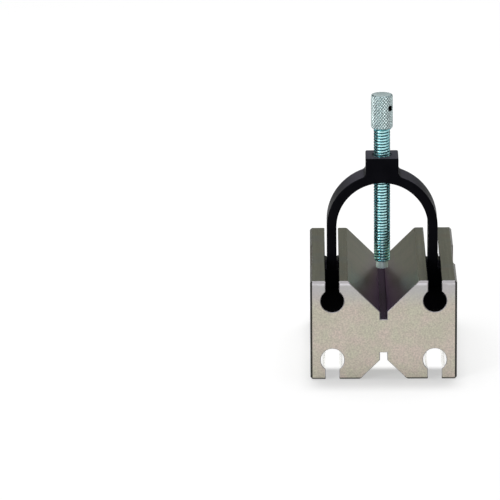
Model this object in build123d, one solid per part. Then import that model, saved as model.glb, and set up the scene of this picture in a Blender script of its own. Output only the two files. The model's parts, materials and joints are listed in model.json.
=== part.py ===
"""Vee block with a stirrup clamp.

A ground steel block with a large vee on top and a small one below, a black stirrup whose beads run in
the keyways beside the upper vee, and a screw through the stirrup's boss that holds round work down.

Millimetres. X runs across the block, Y along the vees and Z up. The origin is the centre of the base.
"""
import math
import os

from build123d import *

# Block
BLOCK_WIDTH = 70.0
BLOCK_LENGTH = 92.0
BLOCK_HEIGHT = 49.0
OUTER_CHAMFER = 1.0
MOUTH_BREAK = 0.3

# Vees, both 90 degrees, each with a slot in its root that clears the edge of square work
UPPER_VEE_LAND = 4.15
LOWER_VEE_LAND = 9.75
ROOT_SLOT_WIDTH = 3.5
ROOT_SLOT_DEPTH = 3.8

# Keyways: a round hole with a neck to the face, two above and two below
KEYWAY_FROM_SIDE = 10.55
KEYWAY_DEPTH = 9.8
KEYWAY_RADIUS = 5.6
KEYWAY_NECK = 6.6

# Relief down the middle of both sides
SIDE_RELIEF_LENGTH = 31.0
SIDE_RELIEF_DEPTH = 0.9

# Stirrup
STRAP_THICKNESS = 4.7
STRAP_DEPTH = 16.0
BEAD_CLEARANCE = 0.25
BEAD_CHAMFER = 0.6
LEG_RISE = 15.5
BOSS_WIDTH = 15.8
BOSS_HEIGHT = 12.4
BOSS_FILLET = 2.4
BOSS_CORNER = 0.7
STIRRUP_EDGE = 0.6
BORE_COUNTERSINK = 0.8

# Clamp screw
SCREW_DIAMETER = 7.94
SCREW_CLEARANCE = 0.05
THREAD_LENGTH = 66.1
DOG_DIAMETER = 6.0
DOG_LENGTH = 3.6
DOG_CHAMFER = 0.5
TIP_BELOW_FACE = 7.0
HEAD_DIAMETER = 10.6
HEAD_LENGTH = 17.3
HEAD_CHAMFER = 0.7
CROSS_HOLE_DIAMETER = 2.8
CROSS_HOLE_DROP = 6.4
CROSS_HOLE_ANGLE = -37.0

# How far a cutter runs past the face it opens
OVERRUN = 1.0

# What follows from the sizes above
SQRT2 = math.sqrt(2.0)
HALF_LENGTH = BLOCK_LENGTH / 2
KEYWAY_X = BLOCK_WIDTH / 2 - KEYWAY_FROM_SIDE
NECK_INNER_X = KEYWAY_X - KEYWAY_NECK / 2
UPPER_VEE_HALF_WIDTH = NECK_INNER_X - UPPER_VEE_LAND
LOWER_VEE_HALF_WIDTH = NECK_INNER_X - LOWER_VEE_LAND
ARCH_INNER = KEYWAY_X - STRAP_THICKNESS / 2
ARCH_OUTER = KEYWAY_X + STRAP_THICKNESS / 2
BEAD_RADIUS = KEYWAY_RADIUS - BEAD_CLEARANCE
BEAD_Z = BLOCK_HEIGHT - KEYWAY_DEPTH
ARCH_Z = BLOCK_HEIGHT + LEG_RISE
CROWN_Z = ARCH_Z + ARCH_INNER
BOSS_TOP_Z = CROWN_Z + BOSS_HEIGHT
TIP_Z = BLOCK_HEIGHT - TIP_BELOW_FACE
THREAD_Z = TIP_Z + DOG_LENGTH
HEAD_Z = THREAD_Z + THREAD_LENGTH

# How a solid stands on its placing point: centred, with its base at zero
UPWARDS = (Align.CENTER, Align.CENTER, Align.MIN)


def section_plane(y):
    """The XZ plane at y, with X to the right and Z up."""
    return Plane.XZ.offset(-y)


def outline(points, y=0.0):
    """A flat face through the points (x, z) at y."""
    return section_plane(y) * make_face(Polyline(*points, close=True))


def along_block(face):
    """The face drawn out past both ends of the block."""
    return extrude(face, HALF_LENGTH + OVERRUN, both=True)


def from_top(points):
    """Points (x, depth below the upper face) as (x, z)."""
    return [(x, BLOCK_HEIGHT - depth) for x, depth in points]


def from_base(points):
    """Points (x, depth above the base) as (x, z)."""
    return [(x, depth) for x, depth in points]


def vee_points(half_width, grow=0.0):
    """Half of a vee's outline as (x, depth), grown outwards by a set amount, and its mirror image."""
    slot = ROOT_SLOT_WIDTH / 2 + grow
    flank = half_width + grow * SQRT2
    root = flank - slot
    floor = half_width - ROOT_SLOT_WIDTH / 2 + ROOT_SLOT_DEPTH + grow
    right = [(flank + OVERRUN, -OVERRUN), (slot, root), (slot, floor)]
    return right + [(-x, depth) for x, depth in reversed(right)]


def vee_lip_points(half_width):
    """The broken edges where a vee meets its face, as (x, depth)."""
    leg = MOUTH_BREAK / SQRT2
    flare = (MOUTH_BREAK + leg) / leg
    right = [(half_width + MOUTH_BREAK + OVERRUN * flare, -OVERRUN), (half_width - leg, leg)]
    return right + [(-x, depth) for x, depth in reversed(right)]


def neck_points(x, grow=0.0):
    """A keyway's neck as (x, depth), from its hole's centre out past the face."""
    half = KEYWAY_NECK / 2 + grow
    mouth = [(x - half, -OVERRUN), (x + half, -OVERRUN)]
    return mouth + [(x + half, KEYWAY_DEPTH), (x - half, KEYWAY_DEPTH)]


def neck_lip_points(x):
    """The broken edges where a neck meets its face, as (x, depth)."""
    half = KEYWAY_NECK / 2
    flare = half + MOUTH_BREAK + OVERRUN
    mouth = [(x - flare, -OVERRUN), (x + flare, -OVERRUN)]
    return mouth + [(x + half, MOUTH_BREAK), (x - half, MOUTH_BREAK)]


def end_break(points_at, placed):
    """A cutter that breaks the edges of a groove at both ends; points_at gives its outline grown."""
    wide = outline(placed(points_at(MOUTH_BREAK + OVERRUN)), HALF_LENGTH + OVERRUN)
    narrow = outline(placed(points_at(0.0)), HALF_LENGTH - MOUTH_BREAK)
    cutter = loft([wide, narrow])
    return cutter + mirror(cutter, about=Plane.XZ)


def hole_break(x, z):
    """A cutter that breaks the rim of a keyway's hole at both ends."""
    length = MOUTH_BREAK + OVERRUN
    cone = Cone(KEYWAY_RADIUS, KEYWAY_RADIUS + length, length, align=UPWARDS)
    cutter = Pos(x, HALF_LENGTH - MOUTH_BREAK, z) * Rot(-90, 0, 0) * cone
    return cutter + mirror(cutter, about=Plane.XZ)


def keyway(x, placed):
    """The cutter for one keyway, with its broken edges."""
    centre = placed([(x, KEYWAY_DEPTH)])[0]
    hole = along_block(section_plane(0.0) * Pos(*centre) * Circle(KEYWAY_RADIUS))
    neck = along_block(outline(placed(neck_points(x))))
    lip = along_block(outline(placed(neck_lip_points(x))))
    ends = end_break(lambda grow: neck_points(x, grow), placed) + hole_break(*centre)
    return hole + neck + lip + ends


def vee(half_width, placed):
    """The cutter for one vee and its root slot, with broken edges."""
    groove = along_block(outline(placed(vee_points(half_width))))
    lip = along_block(outline(placed(vee_lip_points(half_width))))
    return groove + lip + end_break(lambda grow: vee_points(half_width, grow), placed)


def side_relief():
    """What is ground off both sides in the middle, which leaves the long edges broken there too."""
    kept = Rectangle(BLOCK_WIDTH - 2 * SIDE_RELIEF_DEPTH, BLOCK_HEIGHT)
    kept = chamfer(kept.vertices(), MOUTH_BREAK)
    around = Rectangle(BLOCK_WIDTH + 2 * OVERRUN, BLOCK_HEIGHT)
    ring = section_plane(0.0) * Pos(0, BLOCK_HEIGHT / 2) * (around - kept)
    return extrude(ring, SIDE_RELIEF_LENGTH / 2, both=True)


def make_block():
    """The block: a chamfered bar with two vees, four keyways and the side reliefs."""
    bar = Box(BLOCK_WIDTH, BLOCK_LENGTH, BLOCK_HEIGHT, align=UPWARDS)
    block = chamfer(bar.edges(), OUTER_CHAMFER)
    block -= vee(UPPER_VEE_HALF_WIDTH, from_top)
    block -= vee(LOWER_VEE_HALF_WIDTH, from_base)
    for x in (-KEYWAY_X, KEYWAY_X):
        block -= keyway(x, from_top)
        block -= keyway(x, from_base)
    return block - side_relief()


def stirrup_section():
    """The strap seen along Y: arch, legs down to the beads' centres, and boss, with filleted corners."""
    leg_length = ARCH_Z - BEAD_Z
    leg_middle = Pos(0, ARCH_Z - leg_length / 2)
    section = Pos(0, ARCH_Z) * Circle(ARCH_OUTER)
    section -= Pos(0, ARCH_Z - ARCH_OUTER) * Rectangle(2 * ARCH_OUTER, 2 * ARCH_OUTER)
    section += leg_middle * Rectangle(2 * ARCH_OUTER, leg_length)
    section += Pos(0, (ARCH_Z + BOSS_TOP_Z) / 2) * Rectangle(BOSS_WIDTH, BOSS_TOP_Z - ARCH_Z)
    section -= Pos(0, ARCH_Z) * Circle(ARCH_INNER)
    section -= leg_middle * Rectangle(2 * ARCH_INNER, leg_length)
    boss_top = [v for v in section.vertices() if abs(v.Y - BOSS_TOP_Z) < BOSS_CORNER]
    section = fillet(boss_top, BOSS_CORNER)
    root_z = ARCH_Z + math.sqrt(ARCH_OUTER ** 2 - (BOSS_WIDTH / 2) ** 2)
    boss_roots = [v for v in section.vertices() if abs(v.Y - root_z) < BOSS_CORNER]
    return fillet(boss_roots, BOSS_FILLET)


def bead(x):
    """The round bead at the foot of one leg, along Y."""
    rod = Cylinder(BEAD_RADIUS, STRAP_DEPTH)
    rod = chamfer(rod.edges().filter_by(GeomType.CIRCLE), BEAD_CHAMFER)
    return Pos(x, 0, BEAD_Z) * Rot(90, 0, 0) * rod


def make_stirrup():
    """The stirrup: a strap with rounded edges, two beads and the screw's hole in the boss."""
    strap = extrude(section_plane(0.0) * stirrup_section(), STRAP_DEPTH / 2, both=True)
    on_side = [e for e in strap.edges() if abs(abs(e.center().Y) - STRAP_DEPTH / 2) < STIRRUP_EDGE / 2]
    rims = [e for e in on_side if e.center().Z > BEAD_Z + STRAP_THICKNESS]
    strap = fillet(rims, STIRRUP_EDGE)
    stirrup = strap + bead(-KEYWAY_X) + bead(KEYWAY_X)
    radius = SCREW_DIAMETER / 2 + SCREW_CLEARANCE
    bore = Cylinder(radius, ARCH_OUTER + BOSS_HEIGHT, align=UPWARDS)
    sink_depth = BORE_COUNTERSINK + OVERRUN
    sink = Cone(radius, radius + sink_depth, sink_depth, align=UPWARDS)
    return stirrup - Pos(0, 0, ARCH_Z) * bore - Pos(0, 0, BOSS_TOP_Z - BORE_COUNTERSINK) * sink


def make_screw():
    """The screw: a turned profile with dog point, shank and head, and the cross hole for a bar."""
    dog = DOG_DIAMETER / 2
    shank = SCREW_DIAMETER / 2
    head = HEAD_DIAMETER / 2
    top = HEAD_Z + HEAD_LENGTH
    profile = [
        (0.0, TIP_Z),
        (dog - DOG_CHAMFER, TIP_Z),
        (dog, TIP_Z + DOG_CHAMFER),
        (dog, THREAD_Z),
        (shank, THREAD_Z + shank - dog),
        (shank, HEAD_Z),
        (head, HEAD_Z + head - shank),
        (head, top - HEAD_CHAMFER),
        (head - HEAD_CHAMFER, top),
        (0.0, top),
    ]
    screw = revolve(outline(profile), Axis.Z)
    hole = Rot(0, 90, 0) * Cylinder(CROSS_HOLE_DIAMETER / 2, HEAD_DIAMETER + 2 * OVERRUN)
    return screw - Pos(0, 0, top - CROSS_HOLE_DROP) * Rot(0, 0, CROSS_HOLE_ANGLE) * hole


os.makedirs("parts", exist_ok=True)
for name, make in (("v_block", make_block), ("clamp_stirrup", make_stirrup), ("clamp_screw", make_screw)):
    export_step(make(), f"parts/{name}.step")
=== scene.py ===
# %% [markdown]
# # A vee block and its stirrup clamp
#
# The object is a toolmaker's vee block: a ground steel block with a vee on top, a black stirrup that
# slides along it in two keyways, and a plated screw that holds round work down in the vee. The packed
# model gives every piece its size and place, so this lesson only dresses it: a camera, a white table,
# three finishes, and a screw with a real thread and a real knurl.

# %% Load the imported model
import json
import math

import bmesh
import bpy
from mathutils import Matrix, Vector


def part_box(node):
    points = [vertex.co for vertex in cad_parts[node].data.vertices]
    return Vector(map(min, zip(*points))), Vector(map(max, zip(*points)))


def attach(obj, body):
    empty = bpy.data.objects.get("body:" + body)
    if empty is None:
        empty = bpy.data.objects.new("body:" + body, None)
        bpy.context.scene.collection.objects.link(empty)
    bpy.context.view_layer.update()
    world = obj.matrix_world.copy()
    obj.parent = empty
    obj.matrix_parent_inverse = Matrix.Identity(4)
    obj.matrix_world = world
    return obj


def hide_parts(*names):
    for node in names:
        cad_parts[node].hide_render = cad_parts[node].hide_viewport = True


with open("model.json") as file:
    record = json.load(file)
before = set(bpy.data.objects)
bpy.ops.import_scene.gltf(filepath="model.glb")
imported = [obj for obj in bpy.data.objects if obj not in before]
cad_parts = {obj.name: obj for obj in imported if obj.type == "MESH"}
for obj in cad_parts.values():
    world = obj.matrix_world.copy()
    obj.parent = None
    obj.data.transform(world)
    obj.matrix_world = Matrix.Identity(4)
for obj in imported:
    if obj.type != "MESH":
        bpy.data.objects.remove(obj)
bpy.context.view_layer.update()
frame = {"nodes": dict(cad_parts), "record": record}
MM = 0.001

# %% [markdown]
# ## Node trees as Python
#
# Shaders and Geometry Nodes are both trees of nodes. Wiring them one link at a time hides the idea, so
# two small classes let the script say what it means. A `Field` is one output of a node, and Python's
# own operators on it add Math nodes. A `Tree` has one method that makes any node. Two helpers put an
# object in the scene and start a material with nothing in it.

# %% A field
class Field:
    """One output of a node. Operators on it add Math nodes to its tree."""

    def __init__(self, tree, socket):
        self.tree = tree
        self.socket = socket

    def math(self, operation, first, second=0.0):
        inputs = {0: first, 1: second}
        return self.tree.node("ShaderNodeMath", {"operation": operation}, inputs).out(0)

    def __add__(self, other):
        return self.math("ADD", self, other)

    def __radd__(self, other):
        return self.math("ADD", other, self)

    def __sub__(self, other):
        return self.math("SUBTRACT", self, other)

    def __rsub__(self, other):
        return self.math("SUBTRACT", other, self)

    def __mul__(self, other):
        return self.math("MULTIPLY", self, other)

    def __rmul__(self, other):
        return self.math("MULTIPLY", other, self)

    def __truediv__(self, other):
        return self.math("DIVIDE", self, other)

    def __rtruediv__(self, other):
        return self.math("DIVIDE", other, self)

    def __abs__(self):
        return self.math("ABSOLUTE", self)

    def __lt__(self, other):
        return self.math("LESS_THAN", self, other)

    def __gt__(self, other):
        return self.math("GREATER_THAN", self, other)

    def smallest(self, other):
        return self.math("MINIMUM", self, other)

    def largest(self, other):
        return self.math("MAXIMUM", self, other)

    def fraction(self):
        return self.math("FRACT", self)

    def sine(self):
        return self.math("SINE", self)

    def cosine(self):
        return self.math("COSINE", self)

    def root(self):
        return self.math("SQRT", self)

    def map_range(self, low, high, interpolation):
        settings = {"interpolation_type": interpolation}
        inputs = {"Value": self, "From Min": low, "From Max": high}
        return self.tree.node("ShaderNodeMapRange", settings, inputs).out(0)

    def ramp(self, low, high):
        """0 at low, 1 at high, with a soft change between."""
        return self.map_range(low, high, "SMOOTHSTEP")

    def band(self, low, high):
        """A straight run from 0 at low to 1 at high, held at both ends."""
        return self.map_range(low, high, "LINEAR")


print("field ready")

# %% A tree
class Made:
    """A node that has been made; out() gives one of its outputs as a Field."""

    def __init__(self, tree, node):
        self.tree = tree
        self.node = node

    def out(self, key):
        return Field(self.tree, self.node.outputs[key])


class Tree:
    """A node tree under construction."""

    def __init__(self, node_tree):
        self.nodes = node_tree.nodes
        self.links = node_tree.links

    def node(self, kind, settings=None, inputs=None):
        """Make a node: its settings first, then the values or links of its sockets."""
        made = self.nodes.new(kind)
        for name, value in (settings or {}).items():
            setattr(made, name, value)
        for key, value in (inputs or {}).items():
            socket = made.inputs[key]
            if isinstance(value, Field):
                self.links.new(value.socket, socket)
            else:
                socket.default_value = value
        return Made(self, made)

    def parts(self, vector):
        """The X, Y and Z of a vector as three fields."""
        split = self.node("ShaderNodeSeparateXYZ", {}, {0: vector})
        return split.out("X"), split.out("Y"), split.out("Z")

    def blend(self, mask, below, above):
        """A colour that goes from below to above as the mask goes from 0 to 1."""
        inputs = {0: mask, 6: below, 7: above}
        return self.node("ShaderNodeMix", {"data_type": "RGBA"}, inputs).out(2)

    def noise(self, place, scale, detail, stretch=(1.0, 1.0, 1.0)):
        """Noise from 0 to 1 with so many grains to the metre, stretched along an axis."""
        settings = {"vector_type": "POINT"}
        spread = self.node("ShaderNodeMapping", settings, {"Vector": place, "Scale": stretch})
        inputs = {"Vector": spread.out(0), "Scale": scale, "Detail": detail}
        return self.node("ShaderNodeTexNoise", {}, inputs).out(0)


print("tree ready")

# %% Objects and bare materials
def add_object(name, data):
    """Put data in the scene as an object at the origin."""
    made = bpy.data.objects.new(name, data)
    bpy.context.collection.objects.link(made)
    return made


def bare_material(name):
    """A material with an empty node tree."""
    material = bpy.data.materials.new(name)
    material.use_nodes = True
    material.node_tree.nodes.clear()
    return material


print("scene helpers ready")

# %% [markdown]
# ## Camera
#
# The photograph was taken with a long lens from a little above. Its place was worked out from the six
# corners of the block that show: a camera about two metres off, tipped down by about 17 degrees.

# %% Camera
SENSOR = 36.0
LENS = 311.04
FAR_LIMIT = 50.0
CAMERA_PLACE = (-0.0331, -2.0096, 0.6515)
CAMERA_PITCH = math.radians(16.630)
CAMERA_YAW = math.radians(-0.883)
CAMERA_ROLL = math.radians(-0.570)


def make_camera():
    """A long lens aimed down at the block, turned a hair about its own line of sight."""
    data = bpy.data.cameras.new("camera")
    data.sensor_width = SENSOR
    data.lens = LENS
    data.clip_end = FAR_LIMIT
    camera = add_object("camera", data)
    turn = Matrix.Rotation(-CAMERA_YAW, 4, "Z")
    tip = Matrix.Rotation(math.pi / 2 - CAMERA_PITCH, 4, "X")
    roll = Matrix.Rotation(CAMERA_ROLL, 4, "Z")
    camera.matrix_world = Matrix.Translation(CAMERA_PLACE) @ turn @ tip @ roll
    bpy.context.scene.camera = camera


make_camera()
print("camera at", CAMERA_PLACE)

# %% [markdown]
# ## Table
#
# The block stands on a white table. Paint alone would go grey under soft lamps, so the table shines a
# little by itself to the eye and in reflections, as a lit table does, and takes the rest of its
# brightness from the lamps: it stays white and still keeps the block's soft shadow. Close to the ends
# of the block the glow drops off, a painted shadow that deepens the real one. Well beneath the block it
# rises, a painted glow, so that the openings at its foot show white. Far out the table fades to grey,
# a painted pool of light.

# %% Table: sizes and tones
block_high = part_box("v_block")[1]
BLOCK_HALF_WIDTH = block_high.x
BLOCK_HALF_LENGTH = block_high.y
BLOCK_HEIGHT = block_high.z
TABLE_HALF = 4.0
TABLE_WHITE = (0.355, 0.355, 0.355, 1.0)
TABLE_GREY = (0.12, 0.12, 0.12, 1.0)
LIT_RADIUS = 0.95
DARK_RADIUS = 1.8
TABLE_GLOW = 0.63
TABLE_GLOW_FAR = 0.10
# Beneath the block the glow is painted light; close to its ends the drop in glow is a painted shadow.
TABLE_PAINTED_GLOW = 0.93
BENEATH_FROM_END = 13.0 * MM
BENEATH_FULL_BY = 21.0 * MM
TABLE_PAINTED_SHADOW = 0.18
SHADE_FULL_TO = 5.0 * MM
SHADE_REACH = 22.0 * MM
SHADE_SOFT = 7.0 * MM
print("block", BLOCK_HALF_WIDTH * 2, "by", BLOCK_HALF_LENGTH * 2, "by", BLOCK_HEIGHT, "m")

# %% Table
def white_table():
    """Matt white, with a glow that the eye and reflections see and that lights nothing else."""
    material = bare_material("white_table")
    tree = Tree(material.node_tree)
    x, y = tree.parts(tree.node("ShaderNodeTexCoord").out("Object"))[:2]
    # painted pool of light: the table's glow and colour fade to grey beyond the lit radius
    far = (x * x + y * y).root().ramp(LIT_RADIUS, DARK_RADIUS)
    aside = abs(x) - BLOCK_HALF_WIDTH
    ahead = abs(y) - BLOCK_HALF_LENGTH
    # painted shadow: the glow drops close to the ends of the block
    by_end = 1.0 - ahead.ramp(SHADE_FULL_TO, SHADE_REACH)
    shade = by_end * (1.0 - aside.ramp(-SHADE_SOFT, SHADE_SOFT))
    # painted glow: well beneath the block the table shines brighter, so the openings at its foot show
    # white
    beneath = (aside < 0.0) * (0.0 - ahead).ramp(BENEATH_FROM_END, BENEATH_FULL_BY)
    strength = TABLE_GLOW - far * (TABLE_GLOW - TABLE_GLOW_FAR) - shade * TABLE_PAINTED_SHADOW
    strength = strength + beneath * (TABLE_PAINTED_GLOW - TABLE_GLOW + TABLE_PAINTED_SHADOW)
    path = tree.node("ShaderNodeLightPath")
    seen = path.out("Is Camera Ray").largest(path.out("Is Glossy Ray"))
    seen = seen.largest(path.out("Is Transmission Ray"))
    glow = tree.node("ShaderNodeEmission", {}, {"Strength": seen * strength}).out(0)
    colour = tree.blend(far, TABLE_WHITE, TABLE_GREY)
    matt = tree.node("ShaderNodeBsdfDiffuse", {}, {"Color": colour}).out(0)
    both = tree.node("ShaderNodeAddShader", {}, {0: glow, 1: matt}).out(0)
    tree.node("ShaderNodeOutputMaterial", {}, {"Surface": both})
    return material


def flat_card(name, corners, material):
    """One flat face with four corners."""
    mesh = bpy.data.meshes.new(name)
    mesh.from_pydata(corners, [], [(0, 1, 2, 3)])
    mesh.materials.append(material)
    card = add_object(name, mesh)
    return card


table_signs = [(-1, -1), (1, -1), (1, 1), (-1, 1)]
table_corners = [(TABLE_HALF * x, TABLE_HALF * y, 0.0) for x, y in table_signs]
flat_card("table", table_corners, white_table())
print("table", 2 * TABLE_HALF, "m square")

# %% [markdown]
# ## Light
#
# A large soft lamp hangs overhead, and a smaller soft box at the front left puts the bright stripe on
# the screw. Polished steel shows what is around it, so the room matters as much as the lamps: it is
# bright overhead and darker towards the horizon, which is what gives the ground faces their tone.

# %% Lamps and room
ROOM_HORIZON = (0.165, 0.167, 0.143, 1.0)
ROOM_ABOVE = (0.50, 0.50, 0.52, 1.0)
ROOM_DARK_UP_TO = 0.42
ROOM_BRIGHT_FROM = 0.80
LAMPS = {
    "overhead": {"place": (0.0, 0.34, 1.0), "width": 1.2, "length": 1.2, "power": 11.0},
    "left_box": {"place": (-1.0, -0.85, 0.50), "width": 0.6, "length": 0.7, "power": 7.5},
}
LAMP_AIM = Vector((0.0, 0.0, 0.05))


def make_room():
    """A plain world: soft grey at the horizon, bright overhead."""
    world = bpy.data.worlds.new("room")
    bpy.context.scene.world = world
    world.use_nodes = True
    world.node_tree.nodes.clear()
    tree = Tree(world.node_tree)
    direction = tree.node("ShaderNodeTexCoord").out("Generated")
    bright = tree.parts(direction)[2].ramp(ROOM_DARK_UP_TO, ROOM_BRIGHT_FROM)
    colour = tree.blend(bright, ROOM_HORIZON, ROOM_ABOVE)
    shine = tree.node("ShaderNodeBackground", {}, {"Color": colour, "Strength": 1.0}).out(0)
    tree.node("ShaderNodeOutputWorld", {}, {"Surface": shine})


def make_lamp(name, place, width, length, power):
    """A soft lamp aimed at the block."""
    data = bpy.data.lights.new(name, "AREA")
    data.shape = "RECTANGLE"
    data.size = width
    data.size_y = length
    data.energy = power
    lamp = add_object(name, data)
    lamp.location = place
    lamp.rotation_euler = (LAMP_AIM - Vector(place)).to_track_quat("-Z", "Y").to_euler()


make_room()
for lamp_name, lamp_facts in LAMPS.items():
    make_lamp(lamp_name, **lamp_facts)
print("lamps:", ", ".join(LAMPS))

# %% [markdown]
# ## Black cards
#
# A bright cylinder on a white table loses its outline. Photographers stand black cards just outside
# the picture, so that the metal has something dark to mirror along its edges. The two here are seen by
# reflections only: they throw no shadow and never show.

# %% Black cards
CARDS = {
    "left_flag": {"place": -0.18, "front": -0.11, "rear": 0.32, "height": 0.10},
    "right_flag": {"place": 0.18, "front": -0.08, "rear": 0.32, "height": 0.055},
}
CARD_BLACK = (0.02, 0.025, 0.03, 1.0)


def make_black_card(name, place, front, rear, height):
    """An upright black card beside the object."""
    material = bare_material(name)
    tree = Tree(material.node_tree)
    matt = tree.node("ShaderNodeBsdfDiffuse", {}, {"Color": CARD_BLACK}).out(0)
    tree.node("ShaderNodeOutputMaterial", {}, {"Surface": matt})
    outline = [(front, 0.0), (rear, 0.0), (rear, height), (front, height)]
    card = flat_card(name, [(place, y, z) for y, z in outline], material)
    card.visible_camera = False
    card.visible_diffuse = False
    card.visible_shadow = False


for card_name, card_facts in CARDS.items():
    make_black_card(card_name, **card_facts)
print("cards:", ", ".join(CARDS))

# %% [markdown]
# ## Finishes: a start
#
# Each finish is one material on a Principled shader. They all read the piece's own coordinates, in
# metres, so a pattern stays on the metal when the piece moves.

# %% A finish
class Finish(Tree):
    """A material whose tree starts with object coordinates and normals."""

    def __init__(self, name):
        self.material = bare_material(name)
        super().__init__(self.material.node_tree)
        coordinates = self.node("ShaderNodeTexCoord")
        self.place = coordinates.out("Object")
        self.facing = coordinates.out("Normal")

    def shade(self, inputs, height, depth):
        """End the tree in a Principled shader, with a bump of a given depth."""
        bump_inputs = {"Height": height, "Distance": depth, "Strength": 1.0}
        bump = self.node("ShaderNodeBump", {}, bump_inputs).out(0)
        shader = self.node("ShaderNodeBsdfPrincipled", {}, {**inputs, "Normal": bump}).out(0)
        self.node("ShaderNodeOutputMaterial", {}, {"Surface": shader})
        return self.material


def put_on(name, material):
    """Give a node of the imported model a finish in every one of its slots."""
    for slot in frame["nodes"][name].material_slots:
        slot.material = material


print("finish helper ready")

# %% [markdown]
# ## Ground steel: the faces
#
# One piece of steel carries several finishes, so the shader has to know which face it is on. It could
# read painted vertex groups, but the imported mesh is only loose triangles. Here a mask for each kind of
# face is worked out from where a point lies and which way it faces: the ends, their bevelled edges,
# the vee's flanks and its root slot, the keyways, and the relief down each side.

# %% Ground steel: sizes
BORES = {mount["name"]: mount for mount in frame["record"]["mounts"] if mount["kind"] == "bore"}
LOWER_KEYWAY = BORES["lower_keyway_right"]
KEYWAY_X = LOWER_KEYWAY["pos_m"][0]
KEYWAY_DEPTH = LOWER_KEYWAY["pos_m"][2]
KEYWAY_RADIUS = LOWER_KEYWAY["dims"]["r_mm"] * MM
NECK_HALF = 3.3 * MM
SLOT_HALF = 1.75 * MM
SLOT_TOP = 15.25 * MM
RELIEF_DEPTH = 0.9 * MM
CORNER_CUT = 1.0 * MM
NEAR_CORNER = 1.5 * CORNER_CUT
SKIN = 0.12 * MM
# Painted shade turns the flanks darker and violet towards the root of the vee, from this depth down.
ROOT_SHADE_FROM = 0.35 * SLOT_TOP
ROOT_SHADE_SLOPE = 0.12
print("keyways at", KEYWAY_X, "and", KEYWAY_DEPTH, "m")

# %% Ground steel: a mask for each face
SQUARE_ON = (0.8, 0.95)
SLANTED = (0.4, 0.6)
EDGE_ON = (0.3, 0.5)
SIDE_ON = (0.05, 0.3)
NEARLY_LEVEL = 0.9


class BlockFaces:
    """Masks from 0 to 1 for the faces of the block."""

    def __init__(self, finish):
        x, y, z = finish.parts(finish.place)
        across, along, upward = (abs(part) for part in finish.parts(finish.facing))
        self.height = z
        self.upper = z > BLOCK_HEIGHT / 2
        self.depth = BLOCK_HEIGHT / 2 - abs(z - BLOCK_HEIGHT / 2)
        facing_end = along.ramp(*SQUARE_ON)
        self.end = facing_end * (abs(y) > BLOCK_HALF_LENGTH - CORNER_CUT)
        self.step = facing_end - self.end
        self.edge = along.ramp(*EDGE_ON) * (1.0 - facing_end)
        slanted = across.ramp(*SLANTED)
        by_side = abs(x) > BLOCK_HALF_WIDTH - NEAR_CORNER
        # the slanted end bevels beside the sides get painted shade
        self.corner = self.edge * slanted * by_side
        # painted shade on the end bevels at the foot and on the bevels along the top of the sides
        brow = slanted * upward.ramp(*SLANTED) * by_side
        self.shaded_edge = (self.edge * (z < NEAR_CORNER)).largest(brow)
        relief = across.ramp(*SQUARE_ON) * (abs(x) < BLOCK_HALF_WIDTH - RELIEF_DEPTH / 2)
        self.relief = relief * (abs(x) > BLOCK_HALF_WIDTH - 2 * RELIEF_DEPTH)
        wall = 1.0 - along.ramp(*SIDE_ON)
        self.keyway = wall * self.inside_keyway(x)
        self.slot = wall * self.upper * (abs(x) < SLOT_HALF + SKIN) * (self.depth > SLOT_TOP)
        in_vee = wall * self.upper * (abs(x) < SLOT_TOP + SLOT_HALF)
        self.flank = in_vee * (upward < NEARLY_LEVEL)
        # painted shade: darker and violet towards the root of the vee, reaching higher towards the front
        # end
        self.root_shade = (self.depth - ROOT_SHADE_SLOPE * y).ramp(ROOT_SHADE_FROM, SLOT_TOP)

    def inside_keyway(self, x):
        """In one of the round holes, or in the neck that opens it to the top or the foot."""
        aside = abs(x) - KEYWAY_X
        below = self.depth - KEYWAY_DEPTH
        in_hole = (aside * aside + below * below).root() < KEYWAY_RADIUS + SKIN
        in_neck = (abs(aside) < NECK_HALF + SKIN) * (self.depth > SKIN) * (below < 0.0)
        return in_hole.largest(in_neck)


print("block masks ready")

# %% [markdown]
# ## Ground steel: the colours
#
# The ends are pale and satin with a fine grain. Painted shade makes them darker and cooler towards the
# top, and a painted highlight runs in patches along the top edge. The top, sides and vee flanks are
# ground along the block, so they are smoother, show faint lines and carry faint warm and cool stains.
# The flanks are painted darker than the top and sides, and painted shade turns them darker and violet
# towards the root of the vee. The relief down each side is left as milled, paler and matt. Painted
# shade makes the upper keyways and the root slot nearly black, and painted light makes the lower
# keyways a near-white mirror. Painted shade also darkens the step walls, the end bevels beside the
# sides and at the foot, and the bevels along the top of the sides.

# %% Ground steel: marks and ends
GRAIN_SCALE = 1300.0
CLOUD_SCALE = 60.0
LINE_SCALE = 1500.0
LINE_STRETCH = (1.0, 0.012, 1.0)
PATCH_SCALE = 140.0
FINE = 4.0
SOFT = 3.0
END_ROSE = (0.84, 0.72, 0.65, 1.0)
END_STRAW = (0.76, 0.75, 0.60, 1.0)
END_DEEP = (0.44, 0.40, 0.345, 1.0)
# The cool tone is painted shade towards the top, and the pale one a painted highlight along the top
# edge.
END_COOL_SHADE = (0.53, 0.53, 0.565, 1.0)
END_PAINTED_HIGHLIGHT = (0.86, 0.84, 0.88, 1.0)
PATCHES = (0.35, 0.65)
END_GRAIN = (0.25, 0.75)
END_GRAIN_SHARE = 0.75
COOL_BAND = (0.70 * BLOCK_HEIGHT, 0.95 * BLOCK_HEIGHT)
COOL_SHARE = 0.7
TOP_HIGHLIGHT_BAND = (BLOCK_HEIGHT - 2.6 * MM, BLOCK_HEIGHT - 1.2 * MM)
TOP_HIGHLIGHT_PATCHES = (0.35, 0.6)


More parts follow.
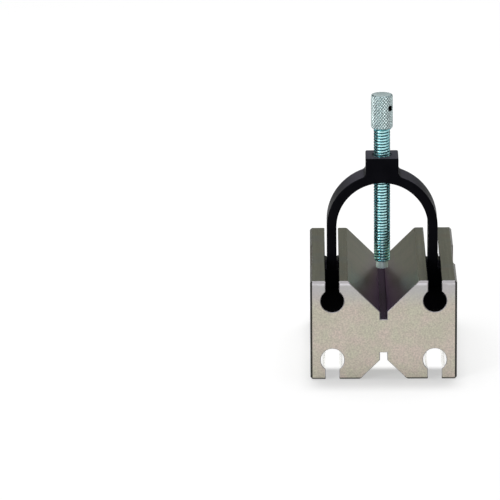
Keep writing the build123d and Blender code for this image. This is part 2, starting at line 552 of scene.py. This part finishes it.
class SteelMarks:
    """The noises that the steel's colours share."""

    def __init__(self, finish):
        self.grain = finish.noise(finish.place, GRAIN_SCALE, FINE)
        self.cloud = finish.noise(finish.place, CLOUD_SCALE, SOFT)
        self.lines = finish.noise(finish.place, LINE_SCALE, SOFT, LINE_STRETCH)
        self.patch = finish.noise(finish.place, PATCH_SCALE, SOFT)


def end_colour(finish, faces, marks):
    """Rose and straw in patches under a fine grain, with painted shade cooler towards the top and a
    painted highlight along the top edge.
    """
    colour = finish.blend(marks.patch.band(*PATCHES), END_ROSE, END_STRAW)
    grain = marks.grain.band(*END_GRAIN) * END_GRAIN_SHARE + marks.cloud * (1.0 - END_GRAIN_SHARE)
    colour = finish.blend(grain, END_DEEP, colour)
    # painted shade: darker and cooler towards the top of each end
    colour = finish.blend(faces.height.ramp(*COOL_BAND) * COOL_SHARE, colour, END_COOL_SHADE)
    # painted highlight, in patches, along the top edge of each end
    top_highlight = faces.height.ramp(*TOP_HIGHLIGHT_BAND) * marks.patch.band(*TOP_HIGHLIGHT_PATCHES)
    return finish.blend(top_highlight, colour, END_PAINTED_HIGHLIGHT)


print("end colour ready")

# %% Ground steel: ground faces and flanks
GROUND_PALE = (0.60, 0.61, 0.50, 1.0)
GROUND_DEEP = (0.37, 0.365, 0.335, 1.0)
GROUND_WARM = (0.47, 0.42, 0.38, 1.0)
GROUND_COOL = (0.43, 0.46, 0.48, 1.0)
# The vee colours are painted shade: darker copies of the ground colours that the flanks share.
VEE_PALE = (0.275, 0.285, 0.17, 1.0)
VEE_DEEP = (0.15, 0.145, 0.12, 1.0)
VEE_WARM = (0.26, 0.225, 0.175, 1.0)
ROOT_PAINTED_SHADE = (0.160, 0.096, 0.178, 1.0)
MIDDLE = (0.3, 0.7)
LINE_SHARE = 0.4
GRAIN_SHARE = 0.4
PATCH_SHARE = 0.2
WARM_PATCHES = (0.45, 0.7)
WARM_SHARE = 0.7
WARM_SHARE_VEE = 0.6
COOL_CLOUDS = (0.5, 0.7)
COOL_CLOUD_SHARE = 0.6


def ground_colour(finish, faces, marks):
    """Ground steel with faint lines and stains; the flanks are painted darker, with painted violet shade
    at their root.
    """
    wear = marks.lines.band(*MIDDLE) * LINE_SHARE + marks.grain.band(*MIDDLE) * GRAIN_SHARE
    wear = wear + marks.patch.band(*MIDDLE) * PATCH_SHARE
    warm = marks.patch.band(*WARM_PATCHES)
    ground = finish.blend(wear, GROUND_DEEP, GROUND_PALE)
    ground = finish.blend(warm * WARM_SHARE, ground, GROUND_WARM)
    ground = finish.blend(marks.cloud.band(*COOL_CLOUDS) * COOL_CLOUD_SHARE, ground, GROUND_COOL)
    # painted shade: the flanks share the ground finish but are painted darker than the top and sides
    flank = finish.blend(wear, VEE_DEEP, VEE_PALE)
    flank = finish.blend(warm * WARM_SHARE_VEE, flank, VEE_WARM)
    # painted shade, violet, towards the root of the vee
    flank = finish.blend(faces.root_shade, flank, ROOT_PAINTED_SHADE)
    return finish.blend(faces.flank, ground, flank)


print("ground colour ready")

# %% Ground steel: the finish
EDGE_PALE = (0.42, 0.405, 0.415, 1.0)
# The dull edge colour is painted shade for the bevels at the foot and along the top of the sides.
EDGE_PAINTED_SHADE = (0.16, 0.155, 0.135, 1.0)
# The corner colour is painted shade for the end bevels beside the sides.
CORNER_PAINTED_SHADE = (0.05, 0.048, 0.045, 1.0)
# The wall colour is painted shade for the step walls set back from the ends.
STEP_WALL_SHADE = (0.16, 0.15, 0.135, 1.0)
RELIEF_PALE = (0.60, 0.575, 0.53, 1.0)
RELIEF_DEEP = (0.46, 0.44, 0.405, 1.0)
# The clean bore colour is painted light, and the dark bore and slot colours are painted shade.
KEYWAY_PAINTED_BRIGHT = (0.97, 0.97, 0.96, 1.0)
KEYWAY_PAINTED_SHADE = (0.0025, 0.0025, 0.003, 1.0)
SLOT_PAINTED_SHADE = (0.027, 0.0125, 0.031, 1.0)
STEEL_ROUGH = 0.17
LINE_ROUGH = 0.06
SATIN_ROUGH = 0.33
MILLED_ROUGH = 0.37
FLANK_ROUGH = 0.14
KEYWAY_POLISH = 0.10
STEEL_GLOSS = 0.05
LINE_HEIGHT = 0.2
STEEL_BUMP = 0.006 * MM


def ground_steel():
    """The block's finish: each kind of face gets its colour, its roughness and its grain."""
    finish = Finish("ground_steel")
    faces = BlockFaces(finish)
    marks = SteelMarks(finish)
    ground = ground_colour(finish, faces, marks)
    colour = finish.blend(faces.end, ground, end_colour(finish, faces, marks))
    colour = finish.blend(faces.edge, colour, EDGE_PALE)
    milled = finish.blend(marks.grain, RELIEF_DEEP, RELIEF_PALE)
    colour = finish.blend(faces.relief, colour, milled)
    # painted shade makes the upper keyways nearly black; painted light makes the lower ones a near-white
    # mirror
    bore = finish.blend(faces.upper, KEYWAY_PAINTED_BRIGHT, KEYWAY_PAINTED_SHADE)
    colour = finish.blend(faces.keyway, colour, bore)
    # painted shade: the root slot is nearly black
    colour = finish.blend(faces.slot, colour, SLOT_PAINTED_SHADE)
    # painted shade on the step walls set back from the ends
    colour = finish.blend(faces.step, colour, STEP_WALL_SHADE)
    # painted shade on the bevels at the foot and along the top of the sides
    colour = finish.blend(faces.shaded_edge, colour, EDGE_PAINTED_SHADE)
    # painted shade on the end bevels beside the sides
    colour = finish.blend(faces.corner, colour, CORNER_PAINTED_SHADE)
    roughness = STEEL_ROUGH + marks.lines * LINE_ROUGH + (faces.end + faces.edge) * SATIN_ROUGH
    roughness = roughness + faces.relief * MILLED_ROUGH + faces.flank * FLANK_ROUGH
    roughness = roughness - faces.keyway * KEYWAY_POLISH
    # the painted shade in the upper keyways and the root slot is not metal, so it stays black
    black_painted_shade = faces.slot.largest(faces.keyway * faces.upper)
    unlined = faces.end.largest(faces.relief).largest(faces.keyway)
    height = (faces.end + faces.relief) * marks.grain
    height = height + (1.0 - unlined) * marks.lines * LINE_HEIGHT
    inputs = {
        "Base Color": colour,
        "Metallic": 1.0 - black_painted_shade,
        "Roughness": roughness,
        "Specular IOR Level": STEEL_GLOSS,
    }
    return finish.shade(inputs, height, STEEL_BUMP)


put_on("v_block", ground_steel())
print("block dressed in ground steel")

# %% [markdown]
# ## Black stirrup
#
# The stirrup is a casting with a thin black finish: nearly black to look straight at, with a faint
# violet sheen where light slides over it, and the slight unevenness of cast metal. Faces that look up
# are painted a little paler, in mottled patches: a painted sheen.

# %% Black finish
BLACK_DEEP = (0.0018, 0.0021, 0.0030, 1.0)
BLACK_WORN = (0.0045, 0.0047, 0.0065, 1.0)
# The rubbed colour is a painted sheen on faces that look up.
BLACK_PAINTED_SHEEN = (0.044, 0.043, 0.055, 1.0)
VIOLET_SHEEN = (0.86, 0.78, 1.0, 1.0)
CAST_SKIN_SCALE = 900.0
CAST_CLOUD_SCALE = 120.0
CAST_CLOUDS = (0.35, 0.7)
LOOKING_UP = (0.5, 1.0)
SHEEN_BASE = 0.6
SHEEN_SKIN = 0.8
BLACK_ROUGH = 0.36
BLACK_ROUGH_CLOUD = 0.12
BLACK_ROUGH_SKIN = 0.06
BLACK_GLOSS = 0.05
CLOUD_HEIGHT = 2.0
CAST_BUMP = 0.02 * MM


def black_finish():
    """A thin black finish over cast metal."""
    finish = Finish("black_finish")
    skin = finish.noise(finish.place, CAST_SKIN_SCALE, FINE)
    cloud = finish.noise(finish.place, CAST_CLOUD_SCALE, SOFT)
    colour = finish.blend(cloud.band(*CAST_CLOUDS), BLACK_DEEP, BLACK_WORN)
    # painted sheen: faces that look up are paler, in mottled patches
    upward = finish.parts(finish.facing)[2].ramp(*LOOKING_UP)
    colour = finish.blend(upward * (SHEEN_BASE + skin * SHEEN_SKIN), colour, BLACK_PAINTED_SHEEN)
    inputs = {
        "Base Color": colour,
        "Roughness": BLACK_ROUGH + cloud * BLACK_ROUGH_CLOUD + skin * BLACK_ROUGH_SKIN,
        "Specular IOR Level": BLACK_GLOSS,
        "Specular Tint": VIOLET_SHEEN,
    }
    return finish.shade(inputs, skin + cloud * CLOUD_HEIGHT, CAST_BUMP)


put_on("clamp_stirrup", black_finish())
print("stirrup dressed in black")

# %% [markdown]
# ## The screw: a grid bent into a tube
#
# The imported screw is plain, at the thread's outer size. A thread is a shape that follows a rule: the
# radius of each point depends only on its height and its angle, because one turn climbs one pitch. So
# Geometry Nodes bend a flat grid into a tube and push each point in or out by that rule. The same grid
# with another rule makes the knurled head: two sets of slanting grooves that cross.

# %% Screw: sizes
screw_low, screw_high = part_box("clamp_screw")
SCREW_TOP = screw_high.z
SCREW_TIP = screw_low.z
HEAD_RADIUS = screw_high.x
HEAD_LENGTH = 17.3 * MM
HEAD_CHAMFER = 0.7 * MM
HEAD_BOTTOM = SCREW_TOP - HEAD_LENGTH
DOG_RADIUS = 3.0 * MM
DOG_LENGTH = 3.6 * MM
DOG_CHAMFER = 0.5 * MM
THREAD_BOTTOM = SCREW_TIP + DOG_LENGTH
THREAD_RADIUS = 7.94 / 2 * MM
PITCH = 25.4 / 18 * MM
THREAD_DEPTH = 0.613 * PITCH
JOIN_STEP = 0.12 * MM
CROSS_HOLE = BORES["cross_hole"]
CROSS_HOLE_RADIUS = CROSS_HOLE["dims"]["r_mm"] * MM
KNURL_STARTS = 22
KNURL_DEPTH = 0.45 * MM
KNURL_HELIX = math.radians(42.0)
KNURL_RISE = 2 * math.pi * HEAD_RADIUS / KNURL_STARTS / math.tan(KNURL_HELIX)
print("thread pitch", round(PITCH / MM, 3), "mm, knurl rise", round(KNURL_RISE / MM, 2), "mm")

# %% Screw: a grid bent into a tube
END_ROW = 0.0001
SEW = 0.002 * MM


class Shape(Tree):
    """A Geometry Nodes tree with named number inputs and one mesh output."""

    def __init__(self, name, sizes):
        self.group = bpy.data.node_groups.new(name, "GeometryNodeTree")
        super().__init__(self.group)
        self.sizes = sizes
        sockets = self.group.interface
        for size_name, value in sizes.items():
            kind = "NodeSocketInt" if isinstance(value, int) else "NodeSocketFloat"
            sockets.new_socket(size_name, in_out="INPUT", socket_type=kind)
        sockets.new_socket("Mesh", in_out="OUTPUT", socket_type="NodeSocketGeometry")
        self.given = self.node("NodeGroupInput")

    def size(self, name):
        return self.given.out(name)

    def tube(self, radius_rule, material):
        """Bend a grid into a closed tube; the rule gives a radius for each turn and height."""
        grid_inputs = {"Size X": 1.0, "Size Y": 1.0}
        grid_inputs["Vertices X"] = self.size("Columns")
        grid_inputs["Vertices Y"] = self.size("Rows")
        grid = self.node("GeometryNodeMeshGrid", {}, grid_inputs).out("Mesh")
        across, upward = self.parts(self.node("GeometryNodeInputPosition").out(0))[:2]
        turn = across + 0.5
        share = upward + 0.5
        height = self.size("Bottom") + share * (self.size("Top") - self.size("Bottom"))
        inside = (share > END_ROW) * (share < 1.0 - END_ROW)
        radius = radius_rule(turn, height) * inside
        angle = turn * (2 * math.pi)
        place = {"X": radius * angle.cosine(), "Y": radius * angle.sine(), "Z": height}
        place = self.node("ShaderNodeCombineXYZ", {}, place).out(0)
        made = self.node("GeometryNodeSetPosition", {}, {"Geometry": grid, "Position": place})
        sew_inputs = {"Geometry": made.out(0), "Distance": SEW}
        made = self.node("GeometryNodeMergeByDistance", {}, sew_inputs)
        made = self.node("GeometryNodeRealizeInstances", {}, {"Geometry": made.out(0)})
        paint_inputs = {"Geometry": made.out(0), "Material": material}
        made = self.node("GeometryNodeSetMaterial", {}, paint_inputs)
        self.node("NodeGroupOutput", {}, {"Mesh": made.out(0)})

    def mesh(self):
        """Run the tree on an empty object and return the result as a plain mesh."""
        name = self.group.name
        carrier = add_object(name, bpy.data.meshes.new(name))
        modifier = carrier.modifiers.new(name, "NODES")
        modifier.node_group = self.group
        for item in self.group.interface.items_tree:
            if item.in_out == "INPUT":
                modifier[item.identifier] = self.sizes[item.name]
        graph = bpy.context.evaluated_depsgraph_get()
        made = bpy.data.meshes.new_from_object(carrier.evaluated_get(graph))
        bpy.data.objects.remove(carrier)
        return made


print("tube helper ready")

# %% [markdown]
# ## Zinc plate
#
# Bright zinc is a cool, bluish white metal. It is smooth, but never a perfect mirror: the plating has
# faint clouds. Painted shade makes it much darker in the roots of the thread and the grooves of the
# knurl than on their crests, and dark inside the cross hole. The turned point below the thread is
# rubbed dull by the work that it presses on.

# %% Zinc plate
ZINC_PALE = (0.62, 1.0, 1.0, 1.0)
ZINC_DEEP = (0.52, 0.94, 1.0, 1.0)
HEAD_PALE = (0.86, 1.0, 1.0, 1.0)
DOG_PALE = (0.80, 1.0, 1.0, 1.0)
# The dark root, groove and hole colours are painted shade.
THREAD_ROOT_SHADE = (0.07, 0.175, 0.25, 1.0)
ROOT_BAND = (THREAD_RADIUS - 0.85 * THREAD_DEPTH, THREAD_RADIUS - 0.4 * THREAD_DEPTH)
KNURL_GROOVE_SHADE = (0.31, 0.42, 0.44, 1.0)
GROOVE_BAND = (HEAD_RADIUS - 0.9 * KNURL_DEPTH, HEAD_RADIUS - 0.3 * KNURL_DEPTH)
KNURL_INNER = HEAD_RADIUS - 1.5 * KNURL_DEPTH
CROSS_HOLE_SHADE = (0.05, 0.07, 0.075, 1.0)
HOLE_SKIN = 0.05 * MM
EDGE_TINT = (0.08, 0.12, 0.16, 1.0)
ZINC_CLOUD_SCALE = 220.0
ZINC_GRAIN_SCALE = 3000.0
PLAIN = 2.0
ZINC_ROUGH = 0.22
ZINC_ROUGH_CLOUD = 0.06
ZINC_ROUGH_GRAIN = 0.04
HEAD_ROUGH = 0.07
KNURL_ROUGH = 0.05
DOG_POLISH = 0.08
DOG_DULL = 0.6
ZINC_BUMP = 0.003 * MM


def zinc_plate():
    """Bright zinc plate with faint clouds and painted shade in the thread's roots, the knurl's grooves
    and the cross hole.
    """
    finish = Finish("zinc_plate")
    x, y, z = finish.parts(finish.place)
    radius = (x * x + y * y).root()
    cloud = finish.noise(finish.place, ZINC_CLOUD_SCALE, FINE)
    grain = finish.noise(finish.place, ZINC_GRAIN_SCALE, PLAIN)
    in_head = z > HEAD_BOTTOM + THREAD_DEPTH
    in_dog = z < THREAD_BOTTOM
    # painted shade in the roots of the thread
    root = (1.0 - in_head - in_dog) * (1.0 - radius.ramp(*ROOT_BAND))
    on_side = in_head * (radius > KNURL_INNER)
    # painted shade in the grooves of the knurl
    groove_shade = on_side * (1.0 - radius.ramp(*GROOVE_BAND))
    aside = x * CROSS_HOLE["axis"][1] - y * CROSS_HOLE["axis"][0]
    above = z - CROSS_HOLE["pos_m"][2]
    # painted shade inside the cross hole
    in_hole = in_head * ((aside * aside + above * above).root() < CROSS_HOLE_RADIUS + HOLE_SKIN)
    colour = finish.blend(cloud.band(*MIDDLE), ZINC_DEEP, ZINC_PALE)
    colour = finish.blend(in_head, colour, HEAD_PALE)
    colour = finish.blend(in_dog, colour, DOG_PALE)
    colour = finish.blend(root, colour, THREAD_ROOT_SHADE)
    colour = finish.blend(groove_shade, colour, KNURL_GROOVE_SHADE)
    colour = finish.blend(in_hole, colour, CROSS_HOLE_SHADE)
    roughness = ZINC_ROUGH + cloud * ZINC_ROUGH_CLOUD + grain * ZINC_ROUGH_GRAIN
    roughness = roughness + in_head * HEAD_ROUGH + on_side * KNURL_ROUGH - in_dog * DOG_POLISH
    inputs = {
        "Base Color": colour,
        "Metallic": 1.0 - in_dog * DOG_DULL,
        "Roughness": roughness,
        "Specular Tint": EDGE_TINT,
    }
    return finish.shade(inputs, grain, ZINC_BUMP)


zinc = zinc_plate()
print("zinc plate ready")

# %% [markdown]
# ## Thread and knurl
#
# The thread's rule is a ridge that climbs one pitch in each turn, flat at its crest and at its root,
# and tapered off at the bottom. The knurl's rule takes the deeper of two sets of slanting grooves, one
# cut lighter than the other as a rolled knurl often is, and then the chamfers.

# %% Screw: threaded shank
THREAD_SIDES = 48
THREAD_ROWS = 560
ROOT_FLAT = 0.10
CREST_FLAT = 0.48


def threaded_shank():
    """The shank, from the dog point up into the head."""
    sizes = {
        "Bottom": THREAD_BOTTOM,
        "Top": HEAD_BOTTOM + PITCH,
        "Outer Radius": THREAD_RADIUS,
        "Depth": THREAD_DEPTH,
        "Pitch": PITCH,
        "Lead Radius": DOG_RADIUS + JOIN_STEP,
        "Columns": THREAD_SIDES + 1,
        "Rows": THREAD_ROWS,
    }
    shape = Shape("threaded_shank", sizes)

    def radius(turn, height):
        climb = (height / shape.size("Pitch") - turn).fraction()
        ridge = (abs(climb - 0.5) * 2.0).band(ROOT_FLAT, CREST_FLAT)
        thread = shape.size("Outer Radius") - shape.size("Depth") * (1.0 - ridge)
        lead = shape.size("Lead Radius") + (height - shape.size("Bottom"))
        return thread.smallest(lead)

    shape.tube(radius, zinc)
    return shape.mesh()


shank = threaded_shank()
print("shank", len(shank.polygons), "faces")

# %% Screw: knurled head
KNURL_STEPS = 8
KNURL_ROWS = 92
KNURL_LIGHT_CUT = 0.7
KNURL_GROOVE = (0.06, 0.6)


def knurled_head():
    """The head, with crossed grooves between its chamfers."""
    sizes = {
        "Bottom": HEAD_BOTTOM,
        "Top": SCREW_TOP,
        "Outer Radius": HEAD_RADIUS,
        "Depth": KNURL_DEPTH,
        "Starts": float(KNURL_STARTS),
        "Rise": KNURL_RISE,
        "Chamfer": HEAD_CHAMFER,
        "Neck Radius": THREAD_RADIUS + JOIN_STEP,
        "Columns": KNURL_STARTS * KNURL_STEPS + 1,
        "Rows": KNURL_ROWS,
    }
    shape = Shape("knurled_head", sizes)

    def radius(turn, height):
        around = turn * shape.size("Starts")
        climb = height / shape.size("Rise")
        right = abs((around - climb).fraction() - 0.5) * 2.0
        left = abs((around + climb).fraction() - 0.5) * 2.0
        deep = 1.0 - right.band(*KNURL_GROOVE)
        light = KNURL_LIGHT_CUT * (1.0 - left.band(*KNURL_GROOVE))
        knurl = shape.size("Outer Radius") - shape.size("Depth") * deep.largest(light)
        rim = shape.size("Outer Radius") - shape.size("Chamfer")
        low = shape.size("Neck Radius") + (height - shape.size("Bottom"))
        high = rim + (shape.size("Top") - height)
        return knurl.smallest(low).smallest(high)

    shape.tube(radius, zinc)
    return shape.mesh()


head = knurled_head()
print("head", len(head.polygons), "faces")

# %% [markdown]
# ## Dog point and cross hole
#
# The plain end of the screw is turned, so it is a profile spun about the axis. The hole through the
# head for a bar is a cylinder that a Boolean takes out, as a drill would.

# %% Screw: dog point
DOG_SIDES = 64


def dog_point():
    """The plain turned point below the thread, closed at both ends."""
    profile = [
        (DOG_RADIUS - DOG_CHAMFER, SCREW_TIP),
        (DOG_RADIUS, SCREW_TIP + DOG_CHAMFER),
        (DOG_RADIUS, THREAD_BOTTOM + DOG_CHAMFER),
    ]
    angles = [2 * math.pi * side / DOG_SIDES for side in range(DOG_SIDES)]
    circle = [(math.cos(angle), math.sin(angle)) for angle in angles]
    rings = bmesh.new()
    loops = []
    for radius, height in profile:
        loops.append([rings.verts.new((radius * x, radius * y, height)) for x, y in circle])
    for lower, upper in zip(loops, loops[1:]):
        for side in range(DOG_SIDES):
            after = (side + 1) % DOG_SIDES
            rings.faces.new((lower[side], lower[after], upper[after], upper[side]))
    rings.faces.new(reversed(loops[0]))
    rings.faces.new(loops[-1])
    mesh = bpy.data.meshes.new("dog_point")
    rings.to_mesh(mesh)
    rings.free()
    mesh.materials.append(zinc)
    return mesh


point = dog_point()
print("dog point", len(point.polygons), "faces")

# %% Screw: drill for the cross hole
DRILL_SIDES = 48
DRILL_LENGTH = 4 * HEAD_RADIUS


def drill():
    """A cylinder where the cross hole goes, long enough to pass right through the head."""
    sizes = {"radius1": CROSS_HOLE_RADIUS, "radius2": CROSS_HOLE_RADIUS}
    sizes.update(depth=DRILL_LENGTH, segments=DRILL_SIDES)
    direction = Vector(CROSS_HOLE["axis"]).to_track_quat("Z", "Y").to_matrix().to_4x4()
    place = Matrix.Translation(CROSS_HOLE["pos_m"]) @ direction
    bit = bmesh.new()
    bmesh.ops.create_cone(bit, cap_ends=True, matrix=place, **sizes)
    mesh = bpy.data.meshes.new("drill")
    bit.to_mesh(mesh)
    bit.free()
    mesh.materials.append(zinc)
    return mesh


bit_mesh = drill()
print("drill", len(bit_mesh.polygons), "faces")

# %% [markdown]
# ## The screw put together
#
# The real screw is one piece of steel, so its three shapes become one closed skin. They could simply
# overlap, but hidden walls inside a mesh spoil it for anything that measures or prints it. Booleans
# join them instead. A Boolean may list its corners in another order in each run, so they are sorted
# before slivers are welded, and the mesh comes out the same every time.

# %% Screw: put together
WELD = 0.020 * MM
SHARP_ANGLE = math.radians(35.0)
SORT_ALONG = Vector((0.137, 0.291, 1.0))


def combined(first, second, operation):
    """One mesh from two: UNION joins them, DIFFERENCE takes the second out of the first."""
    pieces = [add_object(mesh.name, mesh) for mesh in (first, second)]
    change = pieces[0].modifiers.new(operation, "BOOLEAN")
    change.operation = operation
    change.solver = "EXACT"
    change.object = pieces[1]
    graph = bpy.context.evaluated_depsgraph_get()
    made = bpy.data.meshes.new_from_object(pieces[0].evaluated_get(graph))
    for piece in pieces:
        bpy.data.objects.remove(piece)
    return made


def middle_key(part):
    """A number that orders corners, edges or faces by where they are."""
    corners = getattr(part, "verts", [part])
    return sum(SORT_ALONG.dot(corner.co) for corner in corners) / len(corners)


def weld(mesh):
    """Close up slivers, leave triangles only, and turn every face outwards."""
    shell = bmesh.new()
    shell.from_mesh(mesh)
    shell.verts.sort(key=middle_key)
    bmesh.ops.remove_doubles(shell, verts=shell.verts, dist=WELD)
    shell.edges.sort(key=middle_key)
    bmesh.ops.dissolve_degenerate(shell, edges=shell.edges, dist=WELD)
    shell.faces.sort(key=middle_key)
    bmesh.ops.triangulate(shell, faces=shell.faces)
    bmesh.ops.recalc_face_normals(shell, faces=shell.faces)
    shell.to_mesh(mesh)
    shell.free()


def make_screw():
    """One closed mesh of the point, the shank and the head, in place of the plain screw."""
    drilled = combined(head, bit_mesh, "DIFFERENCE")
    mesh = combined(shank, point, "UNION")
    mesh = combined(mesh, drilled, "UNION")
    weld(mesh)
    mesh.materials.clear()
    mesh.materials.append(zinc)
    for face in mesh.polygons:
        face.material_index = 0
    mesh.shade_smooth()
    mesh.set_sharp_from_angle(angle=SHARP_ANGLE)
    screw = add_object("threaded_clamp_screw", mesh)
    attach(screw, "screw")
    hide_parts("clamp_screw")
    return screw


screw = make_screw()
print("screw", len(screw.data.polygons), "faces")

# %% [markdown]
# ## Finish
#
# The picture uses the Standard view transform, so a colour looks as it is written.

# %% Finish
bpy.context.scene.view_settings.view_transform = "Standard"
